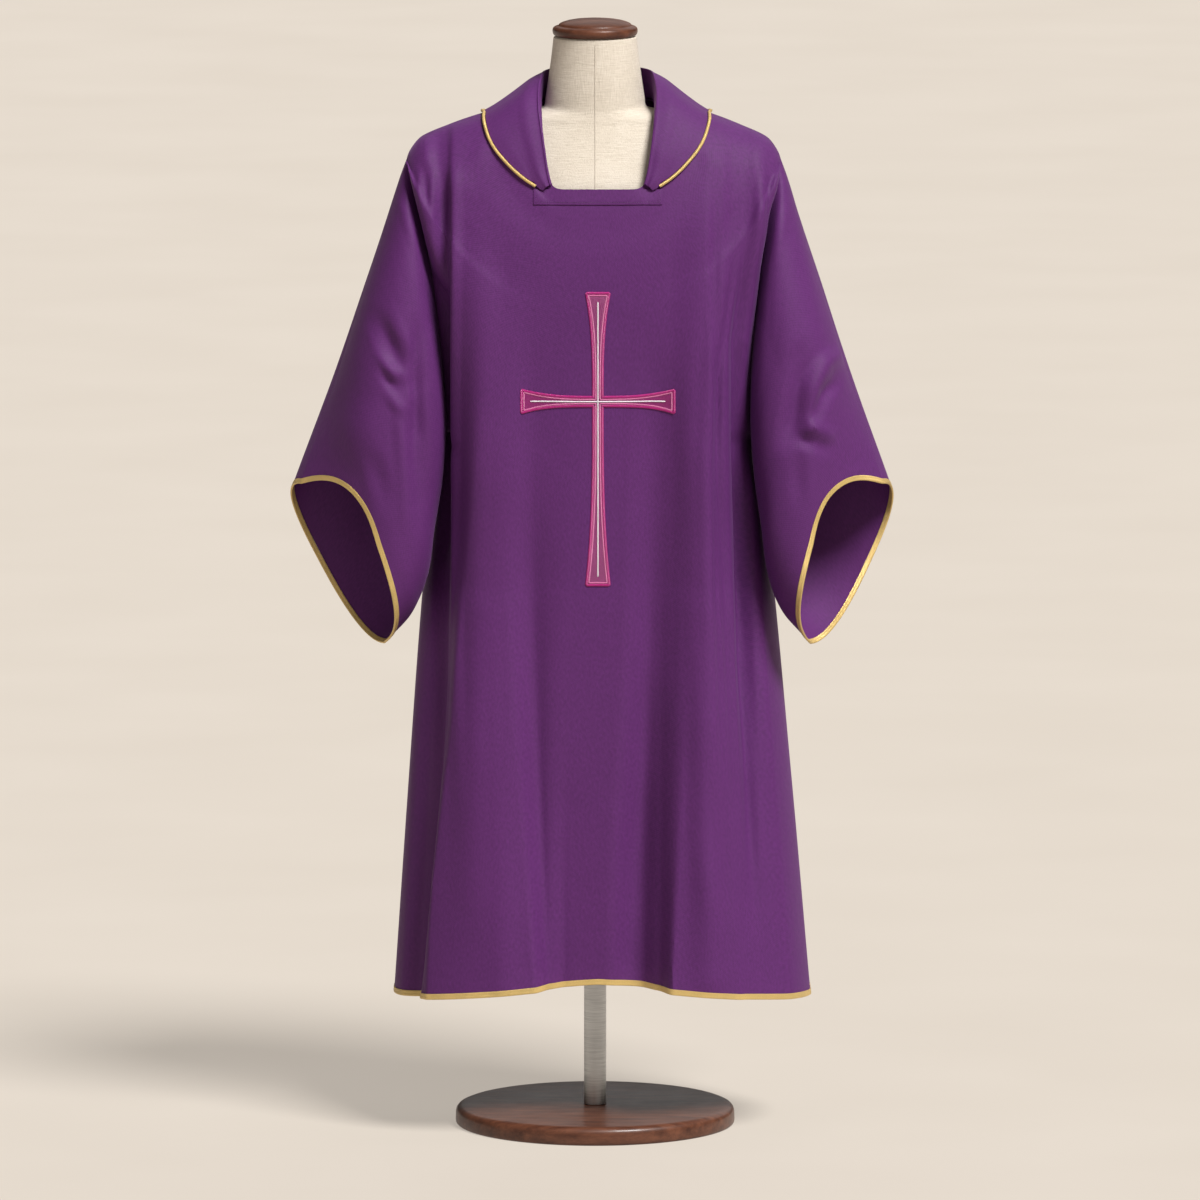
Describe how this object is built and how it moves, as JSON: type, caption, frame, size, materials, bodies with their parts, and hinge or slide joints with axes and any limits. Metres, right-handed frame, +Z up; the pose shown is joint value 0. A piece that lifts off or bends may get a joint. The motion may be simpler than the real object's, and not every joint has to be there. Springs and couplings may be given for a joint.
{
  "type": "dalmatic on a dress form",
  "caption": "Wide-sleeved church vestment with a shawl collar, gold edging and an embroidered cross, worn on a limbless dress form.",
  "frame": {"origin": "on the floor under the garment's middle line", "axes": "+Z up, +X to the wearer's left, -Y towards the front"},
  "size_m": [0.8606, 0.4011, 1.592],
  "materials": {
    "purple_cloth": "soft sheen, fine twill",
    "gold_braid": "metallic thread braid",
    "magenta_satin": "satin stitch",
    "linen": "matte plain weave",
    "dark_wood": "gloss varnish",
    "steel": "brushed"
  },
  "bodies": {
    "root": {"front_panel": "purple_cloth", "back_panel": "purple_cloth", "sleeve_right": "purple_cloth", "sleeve_left": "purple_cloth", "collar": "purple_cloth", "collar_piping": "gold_braid", "neck_band": "purple_cloth", "cross": "magenta_satin", "hem_binding_front": "gold_braid", "hem_binding_back": "gold_braid", "cuff_binding_right": "gold_braid", "cuff_binding_left": "gold_braid", "form_body": "linen", "form_cap": "dark_wood", "stand_pole": "steel", "stand_base": "dark_wood"}
  },
  "joints": []
}
